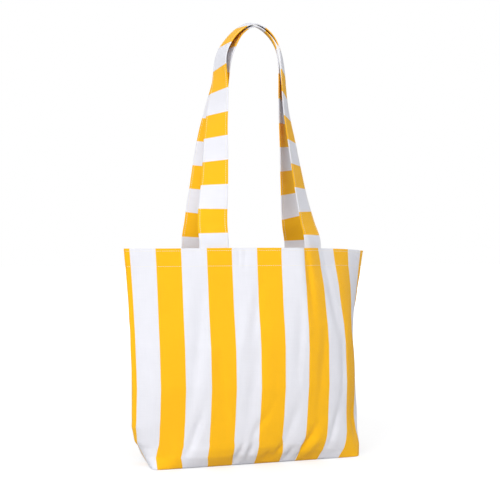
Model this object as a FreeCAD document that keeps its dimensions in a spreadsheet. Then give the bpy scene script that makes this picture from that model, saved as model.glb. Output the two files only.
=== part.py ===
import FreeCAD, Part
import math
import os

# Striped canvas tote bag, standing open with both shoulder handles raised.
# Millimetres, +Z up, the front towards -Y. The origin is the middle of the base, on the
# surface that the bag stands on. The cloth pieces are closed solids of the cloth's own
# thickness. The handles hinge at the rim, where they fold over the hem.

Vector = FreeCAD.Vector

SIZES = {
    "panel_width": 437.0,        # each panel between its side seams, laid flat
    "bag_height": 328.0,         # rim above the base
    "base_length": 334.0,
    "base_depth": 92.0,
    "low_height": 32.0,          # where the sides have flared out above the base
    "belly_height": 150.0,       # where the front and back bulge most
    "shape_reach": 30.0,         # height over which one outline eases into the next
    "wall_sections": 17,
    "strap_sections": 41,
    "canvas_thickness": 0.8,
    "hem_depth": 28.0,           # the turned-in double cloth under the rim
    "seam_width": 10.0,          # overlocked allowance inside the bag
    "seam_thickness": 1.8,
    "cloth_gap": 0.25,           # kept between cloth layers that lie on each other
    "strap_width": 45.0,
    "strap_thickness": 2.0,
    "strap_tuck": 26.0,          # strap sewn in below the rim
    "strap_spacing": 168.0,      # a handle's two ends, middle to middle along the rim
    "strap_start": 1.0,          # where the free strap begins, above the rim
    "apex_tilt": 0.296,          # fall of the strap's inner edge at the top of the loop
    "thread_width": 0.9,
    "thread_thickness": 0.35,
    "edge_stitch_drop": 3.0,     # upper stitch row below the rim
    "hem_stitch_drop": 26.0,     # lower stitch row below the rim
    "strap_stitch_inset": 3.5,   # strap's stitch rows from its edges
    "tack_width": 36.0,          # box of stitching that holds a strap's end
    "tack_height": 18.0,
    "tack_drop": 5.5,            # tack's top edge below the rim
}

# Plan outlines of the standing cloth as control points of one smooth curve, each from one
# side seam to the other. The left seam is at -X, and the front right part turns back.
FRONT_LOW = [(-190, -7), (-182, -22), (-160, -37), (-122, -52), (-60, -69), (45, -68),
             (90, -58), (138, -50), (160, -36), (168, -8), (157, 28)]
FRONT_BELLY = [(-191, -18), (-179, -33), (-158, -49), (-122, -64), (-55, -75), (50, -80),
               (90, -72), (140, -56), (160, -35), (168, -5), (163, 28)]
FRONT_RIM = [(-206, -26), (-188, -32), (-160, -37), (-120, -43), (-50, -49), (54, -60),
             (80, -50), (110, -22), (140, -9), (172, 14), (200, 38)]
BACK_LOW = [(157, 28), (164, 50), (150, 64), (112, 72), (50, 77), (-60, 77),
            (-122, 73), (-162, 60), (-184, 38), (-192, 12), (-190, -7)]
BACK_BELLY = [(163, 28), (164, 56), (146, 72), (116, 80), (60, 84), (-50, 85),
              (-112, 81), (-156, 68), (-180, 42), (-191, 12), (-191, -18)]
BACK_RIM = [(200, 38), (194, 62), (166, 70), (128, 50), (88, 32), (-40, 35),
            (-90, 36), (-128, 30), (-156, 14), (-182, -7), (-206, -26)]

# Middle line of each handle's free stretch from left to right: x, y, height above the rim,
# and the plan angle in degrees that the strap's inner edge faces as the strap turns.
FRONT_HANDLE_LINE = [
    (-73, -37, 42, -18), (-68.5, -27.5, 92.4, -36), (-64, -18, 148.3, -47), (-59, -9, 204.7, -54),
    (-51, 2, 266.5, -63), (-44, 8.5, 310.5, -71), (-36, 11, 328.8, -75), (-20, 13.5, 348.2, -82),
    (6, 15, 361.4, -90), (33, 13.5, 348.2, -98), (47, 10.5, 326.8, -104), (51, 7, 302.3, -109),
    (53, 1, 256.2, -114), (55, -6.5, 215, -116), (62, -14.5, 163.6, -120),
    (68.5, -20.5, 117.7, -124), (76, -26.5, 72.2, -128), (83, -31, 37, -134)]
BACK_HANDLE_LINE = [
    (-81, 32, 42, -14), (-75.5, 29.5, 92.4, -33), (-69.5, 27, 148.3, -46), (-61.5, 23, 204.7, -55),
    (-50.5, 19, 266.5, -65), (-40.5, 13.5, 308.5, -72), (-32.5, 14, 325.3, -76),
    (-18, 15.5, 344.4, -82), (6, 16, 357.7, -90), (31, 15.5, 344.4, -98), (43.5, 13, 324.2, -104),
    (47.5, 10.5, 300.3, -109), (50, 9.5, 256.2, -114), (53, 11.5, 215, -118),
    (58.5, 14, 163.6, -128), (64, 17, 117.7, -138), (70.5, 20, 72.2, -152), (77, 23.5, 37, -167)]

# Which panel each handle end is sewn to, and its way along the rim from the panel's middle.
HANDLE_ENDS = {
    "front_left": ("front", -1),
    "front_right": ("front", 1),
    "back_left": ("back", 1),
    "back_right": ("back", -1),
}

doc = FreeCAD.newDocument("tote_bag")
sheet = doc.addObject("Spreadsheet::Sheet", "sizes")
for row, (alias, value) in enumerate(SIZES.items(), start=1):
    sheet.set(f"A{row}", alias)
    sheet.set(f"B{row}", str(value))
    sheet.setAlias(f"B{row}", alias)
doc.recompute()

nodes = []


def size(alias):
    """One driving dimension, read from the sheet."""
    return float(sheet.get(alias))


def bind(item, **expressions):
    """Bind an object's properties to expressions over the sheet."""
    for name, expression in expressions.items():
        item.setExpression(name.replace("__", "."), expression)


def keep(item, label):
    """Name a finished sub-part and list it for checking and export."""
    item.Label = label
    nodes.append(item)


# ---- outlines of the cloth ----------------------------------------------------------

def base_outline(sign):
    """Control points of half the base's outline, from one side seam to the other."""
    half_length, half_depth = size("base_length") / 2, size("base_depth") / 2
    corner = half_depth / 3
    quarter = [(half_length, 0), (half_length, half_depth - corner), (half_length, half_depth),
               (half_length - corner, half_depth), (half_length / 2.5, half_depth)]
    left = [(-x, sign * y) for x, y in quarter]
    right = [(x, sign * y) for x, y in reversed(quarter)]
    middle = [(0, sign * half_depth)]
    outline = left + middle + right
    return outline if sign < 0 else outline[::-1]


def mix(first, second, share):
    """Outline part of the way from one outline to another."""
    return [(a[0] + (b[0] - a[0]) * share, a[1] + (b[1] - a[1]) * share)
            for a, b in zip(first, second)]


def straight_mix(height):
    """Front and back control points at a height, mixed from the two nearest outlines."""
    levels = [
        (size("canvas_thickness"), base_outline(-1), base_outline(1)),
        (size("low_height"), FRONT_LOW, BACK_LOW),
        (size("belly_height"), FRONT_BELLY, BACK_BELLY),
        (size("bag_height"), FRONT_RIM, BACK_RIM)]
    for (low, low_front, low_back), (high, high_front, high_back) in zip(levels, levels[1:]):
        if height <= high:
            share = (height - low) / (high - low)
            return mix(low_front, high_front, share), mix(low_back, high_back, share)
    raise ValueError(f"no outline at {height}")


def outlines_at(height):
    """Front and back control points at a height, eased over the heights around it."""
    reach = min(size("shape_reach"), height - size("canvas_thickness"),
                size("bag_height") - height)
    below, above = straight_mix(height - reach), straight_mix(height + reach)
    return mix(below[0], above[0], 0.5), mix(below[1], above[1], 0.5)


def offset_outlines(height, distance):
    """Both outlines at a height moved inwards by a distance, as lists of vectors.

    Each control point moves along the mean normal of its two neighbouring sides. The two
    outlines end just short of each other at the seams.
    """
    front, back = outlines_at(height)
    ring = front + back[1:-1]
    moved = []
    for index, (x, y) in enumerate(ring):
        before, after = ring[index - 1], ring[(index + 1) % len(ring)]
        incoming = Vector(x - before[0], y - before[1], 0).normalize()
        outgoing = Vector(after[0] - x, after[1] - y, 0).normalize()
        mean = (incoming + outgoing).normalize()
        stretch = 1 / max(mean.dot(outgoing), 0.5)
        moved.append(Vector(x - mean.y * distance * stretch,
                            y + mean.x * distance * stretch, height))
    split = len(front)
    return {"front": trimmed(moved[:split]), "back": trimmed(moved[split - 1:] + moved[:1])}


def trimmed(points):
    """Control points with both ends drawn in by half the gap between cloth layers."""
    inset = size("cloth_gap") / 2
    first = points[0] + (points[1] - points[0]).normalize() * inset
    last = points[-1] + (points[-2] - points[-1]).normalize() * inset
    return [first] + points[1:-1] + [last]


def smooth_edge(points):
    """One smooth edge shaped by a list of control points."""
    curve = Part.BSplineCurve()
    curve.buildFromPoles(points, False, 3)
    return curve.toShape()


def cloth_section(name, side, height, depths, span):
    """Cross-section of a strip of cloth at a height.

    depths are the inward offsets of its outer and inner face, and span is where it starts
    and stops along the panel's outline, or None for all of it.
    """
    faces = [smooth_edge(offset_outlines(height, depth)[side]) for depth in depths]
    if span:
        first, last = (faces[0].getParameterByLength(along) for along in span)
        faces = [face.Curve.toShape(first, last) for face in faces]
    outer, inner = faces
    section = doc.addObject("Part::Feature", name)
    section.Shape = Part.Wire([
        outer, Part.makeLine(outer.valueAt(outer.LastParameter), inner.valueAt(inner.LastParameter)),
        inner, Part.makeLine(inner.valueAt(inner.FirstParameter),
                             outer.valueAt(outer.FirstParameter))])
    return section


def cloth_strip(name, side, heights, depths, span=None):
    """Strip of cloth that follows the bag's wall, lofted through its cross-sections."""
    loft = doc.addObject("Part::Loft", name)
    loft.Sections = [cloth_section(f"{name}_section_{index}", side, height, depths, span)
                     for index, height in enumerate(heights)]
    loft.Solid = True
    loft.Ruled = True
    return loft


def fuse(name, pieces):
    """One solid or group from overlapping, touching or separate pieces."""
    fused = doc.addObject("Part::MultiFuse", name)
    fused.Shapes = pieces
    return fused


# ---- panels, seams and stitch rows --------------------------------------------------

def wall_levels():
    """Evenly spaced heights from the base's upper face to the lower edge of the hem."""
    low = size("canvas_thickness")
    high = size("bag_height") - size("hem_depth")
    steps = int(size("wall_sections")) - 1
    return [low + (high - low) * step / steps for step in range(steps + 1)]


def panel(side):
    """Front or back panel: wall, turned hem and half of the base in one cloth."""
    cloth = size("canvas_thickness")
    hem_low = size("bag_height") - size("hem_depth")
    wall = cloth_strip(f"{side}_wall", side, wall_levels(), (0, cloth))
    hem = cloth_strip(f"{side}_hem", side, [hem_low, size("bag_height")], (0, 2 * cloth))
    rim_of_base = offset_outlines(cloth, 0)[side]
    outline = doc.addObject("Part::Feature", f"{side}_base_outline")
    outline.Shape = Part.Face(Part.Wire([smooth_edge(rim_of_base),
                                         Part.makeLine(rim_of_base[-1], rim_of_base[0])]))
    base = doc.addObject("Part::Extrusion", f"{side}_base")
    base.Base = outline
    base.DirMode = "Custom"
    base.Dir = Vector(0, 0, -1)
    bind(base, LengthFwd="sizes.canvas_thickness")
    keep(fuse(f"{side}_panel_cloth", [wall, hem, base]), f"{side}_panel")


def side_seam(label, end):
    """Overlocked side seam standing inwards from the wall, from the base to the hem."""
    nearest = size("canvas_thickness") + 3 * size("cloth_gap") + size("seam_thickness") / 2
    sections = []
    for index, height in enumerate(wall_levels()[1:-1]):
        start = offset_outlines(height, nearest)["front"][end]
        stop = offset_outlines(height, nearest + size("seam_width"))["front"][end]
        inward = Vector(stop - start).normalize()
        sideways = Vector(-inward.y, inward.x, 0)
        section = doc.addObject("Part::Plane", f"{label}_section_{index}")
        bind(section, Length="sizes.seam_width", Width="sizes.seam_thickness")
        corner = start - sideways * (size("seam_thickness") / 2)
        section.Placement = FreeCAD.Placement(
            corner, FreeCAD.Rotation(inward, sideways, Vector(0, 0, 1), "ZXY"))
        sections.append(section)
    seam = doc.addObject("Part::Loft", f"{label}_strip")
    seam.Sections = sections
    seam.Solid = True
    seam.Ruled = True
    keep(seam, label)


def flat_seams():
    """Seam allowances that lie on the base: the long middle one and the corner ones."""
    lift = "(sizes.canvas_thickness + sizes.cloth_gap)"
    middle = doc.addObject("Part::Box", "middle_strip")
    bind(middle, Length="sizes.base_length - 4 * sizes.seam_width", Width="sizes.seam_width",
         Height="sizes.seam_thickness",
         Placement__Base__x="-(sizes.base_length - 4 * sizes.seam_width) / 2",
         Placement__Base__z=lift)
    keep(middle, "bottom_seam")
    for label, place in (("left_corner_seam", "-sizes.base_length / 2 + 0.3 * sizes.seam_width"),
                         ("right_corner_seam", "sizes.base_length / 2 - 1.3 * sizes.seam_width")):
        strip = doc.addObject("Part::Box", f"{label}_strip")
        bind(strip, Length="sizes.seam_width", Width="sizes.base_depth - 2 * sizes.seam_width",
             Height="sizes.seam_thickness", Placement__Base__x=place,
             Placement__Base__y="-(sizes.base_depth - 2 * sizes.seam_width) / 2",
             Placement__Base__z=lift)
        keep(strip, label)


def thread_depths():
    """Inward offsets of the two faces of a thread that lies on the outside of the cloth."""
    gap = size("cloth_gap")
    return -gap - size("thread_thickness"), -gap


def stitch_row(label, drop):
    """Row of stitching all round the bag at a distance below the rim."""
    top = size("bag_height") - size(drop)
    halves = [cloth_strip(f"{label}_{side}", side, [top - size("thread_width"), top],
                          thread_depths()) for side in ("front", "back")]
    keep(fuse(f"{label}_row", halves), label)


# ---- handles ------------------------------------------------------------------------

def sewn_frame(place, inwards):
    """Placement at the rim where a handle's end is sewn in, moved inwards from the cloth.

    Its X runs along the rim, its Y points into the bag and its Z points up the hem.
    """
    side, (along, _) = end_spans(place, 0)
    spots = []
    for height in (size("bag_height"), size("bag_height") - size("hem_depth")):
        edge = smooth_edge(offset_outlines(height, 0)[side])
        parameter = edge.getParameterByLength(along)
        spots.append((edge.valueAt(parameter), edge.tangentAt(parameter)))
    (rim_spot, tangent), (hem_spot, _) = spots
    rotation = FreeCAD.Rotation(tangent, Vector(), rim_spot - hem_spot, "XZY")
    return FreeCAD.Placement(rim_spot + rotation.multVec(Vector(0, inwards, 0)), rotation)


def strap_line(side, free_line):
    """Stations of a whole handle: points and inner-edge angles, with both sewn ends."""
    inwards = (2 * size("canvas_thickness") + size("cloth_gap")
               + size("strap_thickness") / 2)
    stations = [(Vector(x, y, size("bag_height") + rise), angle)
                for x, y, rise, angle in free_line]
    for end, sign in (("left", 1), ("right", -1)):
        frame = sewn_frame(f"{side}_{end}", inwards)
        tangent = frame.Rotation.multVec(Vector(1, 0, 0))
        if tangent.x * sign < 0:
            tangent = -tangent
        angle = math.degrees(math.atan2(tangent.y, tangent.x))
        if end == "right" and angle > 0:
            angle -= 360
        station = (frame.multVec(Vector(0, 0, -size("strap_tuck") / 3)), angle)
        stations.insert(0 if end == "left" else len(stations), station)
    return stations


def strap_frames(stations):
    """Evenly spaced points along a handle, each with its width, inner-face and run axes."""
    curve = Part.BSplineCurve()
    curve.interpolate([point for point, angle in stations])
    knots = [curve.parameter(point) for point, angle in stations]
    steps = int(size("strap_sections")) - 1
    frames = []
    for step in range(steps + 1):
        place = curve.parameterAtDistance(curve.length() * step / steps, curve.FirstParameter)
        after = next((index for index, knot in enumerate(knots) if knot >= place),
                     len(knots) - 1)
        after = max(after, 1)
        share = (place - knots[after - 1]) / (knots[after] - knots[after - 1])
        first, last = stations[after - 1][1], stations[after][1]
        angle = math.radians(first + (last - first) * share)
        along = Vector(*curve.tangent(place)[0]).normalize()
        edge = Vector(math.cos(angle), math.sin(angle), -size("apex_tilt"))
        edge = (edge - along * edge.dot(along)).normalize()
        frames.append((curve.value(place), edge, along.cross(edge), along))
    return frames


def ribbon(name, stations, width, thickness, across=0.0, proud=0.0):
    """Ribbon lofted along a handle, moved across it and proud of its middle.

    width and thickness are expressions over the sheet. The ribbon is cut off level, just
    above the rim.
    """
    sections = []
    for index, (point, edge, inner, along) in enumerate(strap_frames(stations)):
        section = doc.addObject("Part::Plane", f"{name}_section_{index}")
        bind(section, Length=width, Width=thickness)
        doc.recompute([section])
        corner = (point + edge * (across - section.Length.Value / 2)
                  + inner * (proud - section.Width.Value / 2))
        section.Placement = FreeCAD.Placement(corner,
                                              FreeCAD.Rotation(edge, inner, along, "ZXY"))
        sections.append(section)
    loft = doc.addObject("Part::Loft", f"{name}_whole")
    loft.Sections = sections
    loft.Solid = True
    block = doc.addObject("Part::Box", f"{name}_below")
    bind(block, Length="sizes.panel_width", Width="sizes.panel_width",
         Height="sizes.strap_width", Placement__Base__x="-sizes.panel_width / 2",
         Placement__Base__y="-sizes.panel_width / 2",
         Placement__Base__z="sizes.bag_height + sizes.strap_start - sizes.strap_width")
    cut = doc.addObject("Part::Cut", name)
    cut.Base = loft
    cut.Tool = block
    return cut


def handle(side, free_line, stitched_face):
    """Free part of a handle and the two rows of stitching near its edges."""
    stations = strap_line(side, free_line)
    strap = ribbon(f"{side}_strap", stations, "sizes.strap_width", "sizes.strap_thickness")
    keep(strap, f"{side}_handle")
    across = size("strap_width") / 2 - size("strap_stitch_inset")
    proud = stitched_face * (size("strap_thickness") / 2 + size("thread_thickness"))
    rows = [ribbon(f"{side}_{name}_row", stations, "sizes.thread_width",
                   "sizes.thread_thickness", sign * across, proud)
            for name, sign in (("inner", 1), ("outer", -1))]
    stitching = doc.addObject("Part::Compound", f"{side}_strap_rows")
    stitching.Links = rows
    keep(stitching, f"{side}_handle_stitching")


def end_spans(place, width):
    """A handle end's panel, and the start and stop of a width of cloth centred on it."""
    side, way = HANDLE_ENDS[place]
    middle = (size("panel_width") + way * size("strap_spacing")) / 2
    return side, (middle - width / 2, middle + width / 2)


def handle_end(place):
    """Sewn-in end of a strap, lying against the inside of the hem."""
    side, span = end_spans(place, size("strap_width"))
    outer = 2 * size("canvas_thickness") + size("cloth_gap")
    rim = size("bag_height")
    keep(cloth_strip(f"{place}_end", side, [rim - size("strap_tuck"), rim],
                     (outer, outer + size("strap_thickness")), span), f"{place}_handle_end")


def handle_tack(place):
    """Box of stitching on the outside of the hem over a strap's end."""
    side, (left, right) = end_spans(place, size("tack_width"))
    thread = size("thread_width")
    top = size("bag_height") - size("tack_drop")
    bottom = top - size("tack_height")
    bars = {
        "upper": ([top - thread, top], (left, right)),
        "lower": ([bottom, bottom + thread], (left, right)),
        "first": ([bottom, top], (left, left + thread)),
        "last": ([bottom, top], (right - thread, right))}
    pieces = [cloth_strip(f"{place}_tack_{name}", side, heights, thread_depths(), span)
              for name, (heights, span) in bars.items()]
    keep(fuse(f"{place}_tack", pieces), f"{place}_handle_tack")


# ---- assembly -----------------------------------------------------------------------

for side_name in ("front", "back"):
    panel(side_name)
side_seam("left_side_seam", 0)
side_seam("right_side_seam", -1)
flat_seams()
stitch_row("rim_edge_stitching", "edge_stitch_drop")
stitch_row("hem_stitching", "hem_stitch_drop")
for place_name in HANDLE_ENDS:
    handle_end(place_name)
    handle_tack(place_name)
handle("front", FRONT_HANDLE_LINE, -1)
handle("back", BACK_HANDLE_LINE, 1)
doc.recompute()

failed = [item.Name for item in doc.Objects
          if "Invalid" in item.State or "Error" in item.State]
if failed:
    raise RuntimeError(f"objects not built: {failed}")
for node in nodes:
    if node.Shape.isNull() or not node.Shape.isValid():
        raise RuntimeError(f"{node.Label} has no valid shape")

os.makedirs("parts", exist_ok=True)
for node in nodes:
    node.Shape.exportStep(f"parts/{node.Label}.step")
    solids = len(node.Shape.Solids)
    print(f"{node.Label}: {solids} solid(s), {node.Shape.Volume / 1000:.2f} cm3")
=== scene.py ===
"""Striped canvas tote bag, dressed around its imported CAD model.

The bag's two panels are sheets of cloth shaped by smooth plan outlines at several heights,
with a turned hem at the rim and half of the base each. The two handles are folded straps
that run from inside the hem over a shared top point. Seams, stitching and tacks are pieces
of their own. Lengths in the classes are millimetres, and meshes are metres.
"""

import logging
import math
from dataclasses import dataclass, field
from enum import Enum

import bmesh
import bpy
import numpy as np
from mathutils import Matrix, Vector, noise

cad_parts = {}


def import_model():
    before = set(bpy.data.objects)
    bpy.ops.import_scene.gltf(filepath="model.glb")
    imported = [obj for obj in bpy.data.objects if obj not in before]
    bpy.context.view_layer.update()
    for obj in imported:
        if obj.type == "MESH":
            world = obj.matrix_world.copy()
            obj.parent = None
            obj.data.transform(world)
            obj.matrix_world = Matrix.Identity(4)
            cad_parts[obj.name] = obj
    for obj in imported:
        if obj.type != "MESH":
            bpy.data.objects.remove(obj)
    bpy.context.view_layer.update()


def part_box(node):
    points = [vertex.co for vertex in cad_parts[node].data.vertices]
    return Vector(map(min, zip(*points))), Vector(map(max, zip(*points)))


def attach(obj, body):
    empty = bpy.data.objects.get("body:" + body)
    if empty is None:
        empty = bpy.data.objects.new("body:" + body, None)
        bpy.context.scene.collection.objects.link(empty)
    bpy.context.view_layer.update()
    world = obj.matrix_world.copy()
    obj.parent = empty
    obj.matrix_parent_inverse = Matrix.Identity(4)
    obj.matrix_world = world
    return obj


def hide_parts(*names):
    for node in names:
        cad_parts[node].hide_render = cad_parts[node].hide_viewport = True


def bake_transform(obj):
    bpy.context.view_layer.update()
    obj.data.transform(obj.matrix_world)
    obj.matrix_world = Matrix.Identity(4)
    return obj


MM = 0.001
BAG_BODY = "bag"
CLOTH_MAP = "cloth"
CURVE_SAMPLES = 400
WELD = 0.02 * MM
UP = np.array([0.0, 0.0, 1.0])

Colour = tuple[float, float, float]
Outline = tuple[tuple[float, float], ...]
Piece = bpy.types.Object
Socket = bpy.types.NodeSocket
Station = tuple[float, float, float, float]

log = logging.getLogger("tote_bag")


class Side(Enum):
    """The two panels of the bag."""

    FRONT = "front"
    BACK = "back"


class End(Enum):
    """The two ends of a handle, or the two side seams."""

    LEFT = "left"
    RIGHT = "right"

    @property
    def way(self) -> int:
        """Sign of X from the middle of the bag towards this end."""
        return -1 if self is End.LEFT else 1


# ---- numbers that the whole bag shares ------------------------------------------------


@dataclass(frozen=True)
class Cut:
    """Sizes of the cut cloth and of the sewing.

    Attributes:
        stripe: Width of one stripe.
        first_edge: First stripe edge from a panel's left side seam.
        panel_width: Panel between its side seams.
        wall_height: Base edge to rim.
        base_half: Half the depth of the base, which is one panel's share.
        base_length: Length of the base as it is cut; not used.
        cloth: Thickness of the canvas.
        hem: Depth of the turned-in hem.
        fold_radius: Radius of the fold along the rim.
        foot_radius: Radius of the edge around the base.
        strap_width: Width of a handle's strap.
        strap_half: Half the thickness of a strap.
        strap_tuck: Length of strap sewn in below the rim.
        strap_spacing: Middle to middle of a handle's two ends, along the rim.
        edge_row: Upper row of stitching below the rim.
        hem_row: Lower row of stitching below the rim.
        strap_row: Strap's rows of stitching from its edges.
    """

    stripe: float = 38.0
    first_edge: float = 9.1
    panel_width: float = 437.0
    wall_height: float = 328.0
    base_half: float = 46.0
    base_length: float = 347.0
    cloth: float = 0.75
    hem: float = 28.0
    fold_radius: float = 0.95
    foot_radius: float = 2.0
    strap_width: float = 45.0
    strap_half: float = 1.0
    strap_tuck: float = 26.0
    strap_spacing: float = 168.0
    edge_row: float = 3.0
    hem_row: float = 26.0
    strap_row: float = 3.5

    def strap_place(self, end: End) -> float:
        """Middle of a strap's sewn end, from the left side seam."""
        return (self.panel_width + end.way * self.strap_spacing) / 2


# ---- small geometry helpers -----------------------------------------------------------


def smoothstep(value: np.ndarray | float, low: float, high: float) -> np.ndarray | float:
    """Ease from 0 at low to 1 at high."""
    share = np.clip((value - low) / (high - low), 0.0, 1.0)
    return share * share * (3 - 2 * share)


def hollow(away: np.ndarray, depth: float, reach: float) -> np.ndarray:
    """Rounded hollow of a depth at distances away from its middle."""
    return depth * np.exp(-(away / reach) ** 2)


def unit(vectors: np.ndarray) -> np.ndarray:
    """Vectors along the last axis at length 1."""
    return vectors / np.maximum(np.linalg.norm(vectors, axis=-1, keepdims=True), 1e-12)


def lengths_along(points: np.ndarray) -> np.ndarray:
    """Distance of each point from the first one, along the line through them all."""
    steps = np.linalg.norm(np.diff(points, axis=0), axis=1)
    return np.concatenate([[0.0], np.cumsum(steps)])


def value_at(places: np.ndarray | float, lengths: np.ndarray, rows: np.ndarray) -> np.ndarray:
    """Read rows that stand at lengths along a line, at places between them."""
    return np.stack([np.interp(places, lengths, column) for column in rows.T], axis=-1)


def blending_basis(poles: int, samples: int) -> np.ndarray:
    """Weights of a clamped cubic curve's control points at evenly spaced places on it.

    Args:
        poles: Number of control points.
        samples: Number of places.

    Returns:
        Array of samples by poles.
    """
    degree = 3
    inner = np.linspace(0.0, 1.0, poles - degree + 1)
    knots = np.concatenate([np.zeros(degree), inner, np.ones(degree)])
    place = np.clip(np.linspace(0.0, 1.0, samples), 0.0, 1.0 - 1e-9)
    spans = len(knots) - 1
    basis = np.stack([(place >= knots[i]) & (place < knots[i + 1]) for i in range(spans)],
                     axis=1).astype(float)
    for order in range(1, degree + 1):
        for i in range(spans - order):
            rise = knots[i + order] - knots[i]
            fall = knots[i + order + 1] - knots[i + 1]
            left = (place - knots[i]) / rise * basis[:, i] if rise > 0 else 0.0
            right = (knots[i + order + 1] - place) / fall * basis[:, i + 1] if fall > 0 else 0.0
            basis[:, i] = left + right
    return basis[:, :poles]


def smooth_through(points: np.ndarray, samples: int) -> np.ndarray:
    """Evenly spaced samples of a natural cubic spline through points.

    Args:
        points: Points with any number of columns; the first three are a place.
        samples: Number of samples.

    Returns:
        Array of samples with the same columns.
    """
    knots, count = lengths_along(points[:, :3]), len(points)
    steps = np.diff(knots)
    matrix, target = np.eye(count), np.zeros(points.shape)
    for i in range(1, count - 1):
        before, after = steps[i - 1], steps[i]
        matrix[i, i - 1:i + 2] = before, 2 * (before + after), after
        slope = (points[i + 1] - points[i]) / after - (points[i] - points[i - 1]) / before
        target[i] = 6 * slope
    bend = np.linalg.solve(matrix, target)

    def spline(place: np.ndarray) -> np.ndarray:
        """Rows of the spline.

        Args:
            place: Distances along the knots.

        Returns:
            One row for each distance.
        """
        i = np.clip(np.searchsorted(knots, place, side="right") - 1, 0, count - 2)
        width = steps[i][:, None]
        up = (place - knots[i])[:, None] / width
        down = 1 - up
        return (down * points[i] + up * points[i + 1]
                + ((down ** 3 - down) * bend[i] + (up ** 3 - up) * bend[i + 1]) * width ** 2 / 6)

    fine = np.linspace(0.0, knots[-1], 40 * count)
    length = lengths_along(spline(fine)[:, :3])
    return spline(np.interp(np.linspace(0.0, length[-1], samples), length, fine))


def lay_grid(mesh: bmesh.types.BMesh, points: np.ndarray, cloth_map: np.ndarray) -> None:
    """Add a grid of faces laid onto an array of points.

    Args:
        mesh: The bmesh that it is added to.
        points: Rows by columns by 3, in millimetres.
        cloth_map: Rows by columns by 2, millimetres across and along the stripes.
    """
    rows, columns = points.shape[:2]
    layers = mesh.loops.layers.uv
    layer = layers.get(CLOTH_MAP) or layers.new(CLOTH_MAP)
    made = bmesh.ops.create_grid(mesh, x_segments=columns - 1, y_segments=rows - 1, size=1.0)
    order = sorted(made["verts"], key=lambda vert: (round(vert.co.y, 6), round(vert.co.x, 6)))
    flat_points, flat_map = points.reshape(-1, 3) * MM, cloth_map.reshape(-1, 2) * MM
    for vert, point, place in zip(order, flat_points, flat_map):
        vert.co = point
        for loop in vert.link_loops:
            loop[layer].uv = place


def closed_tube(points: np.ndarray, cloth_map: np.ndarray) -> bmesh.types.BMesh:
    """A tube whose last column meets its first, with filled ends.

    Args:
        points: Rows by columns by 3, in millimetres.
        cloth_map: Rows by columns by 2, millimetres across and along the stripes.

    Returns:
        A new bmesh with its faces outwards.
    """
    mesh = bmesh.new()
    lay_grid(mesh, points, cloth_map)
    bmesh.ops.remove_doubles(mesh, verts=mesh.verts, dist=WELD)
    rims = [edge for edge in mesh.edges if edge.is_boundary]
    bmesh.ops.holes_fill(mesh, edges=rims, sides=0)
    bmesh.ops.recalc_face_normals(mesh, faces=mesh.faces)
    return mesh


def finished(name: str, mesh: bmesh.types.BMesh, material: bpy.types.Material,
             smooth: bool = True) -> Piece:
    """Put a bmesh into the scene as a named object with a material.

    Args:
        name: Name of the piece.
        mesh: The bmesh, which is freed.
        material: Material for all its faces.
        smooth: True for smooth shading.

    Returns:
        The new object.
    """
    data = bpy.data.meshes.new(name)
    for face in mesh.faces:
        face.smooth = smooth
    mesh.to_mesh(data)
    mesh.free()
    data.materials.append(material)
    piece = bpy.data.objects.new(name, data)
    bpy.context.scene.collection.objects.link(piece)
    return piece


def sewn_to_bag(piece: Piece, node: str | None = None) -> Piece:
    """Let a piece ride on the bag, and hide the CAD node that it stands for.

    Args:
        piece: The piece.
        node: CAD node that the piece stands for, if any.

    Returns:
        The same piece.
    """
    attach(piece, BAG_BODY)
    if node:
        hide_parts(node)
    return piece


# ---- finishes -------------------------------------------------------------------------


@dataclass(frozen=True)
class Grain:
    """Size of an unevenness in the cloth.

    Attributes:
        across: Details per metre across the stripes.
        along: Details per metre along the stripes.
    """

    across: float
    along: float


@dataclass(frozen=True)
class Surface:
    """How a cloth's surface takes the light.

    Attributes:
        roughness: Roughness.
        sheen: Weight of the fibres' sheen.
        relief: Depth of the texture.
        specular: Level of the plain gloss.
        sheen_roughness: Roughness of the sheen.
        relief_strength: Share of the relief that shows.
    """

    roughness: float
    sheen: float
    relief: float
    specular: float = 0.2
    sheen_roughness: float = 0.5
    relief_strength: float = 0.6


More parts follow.
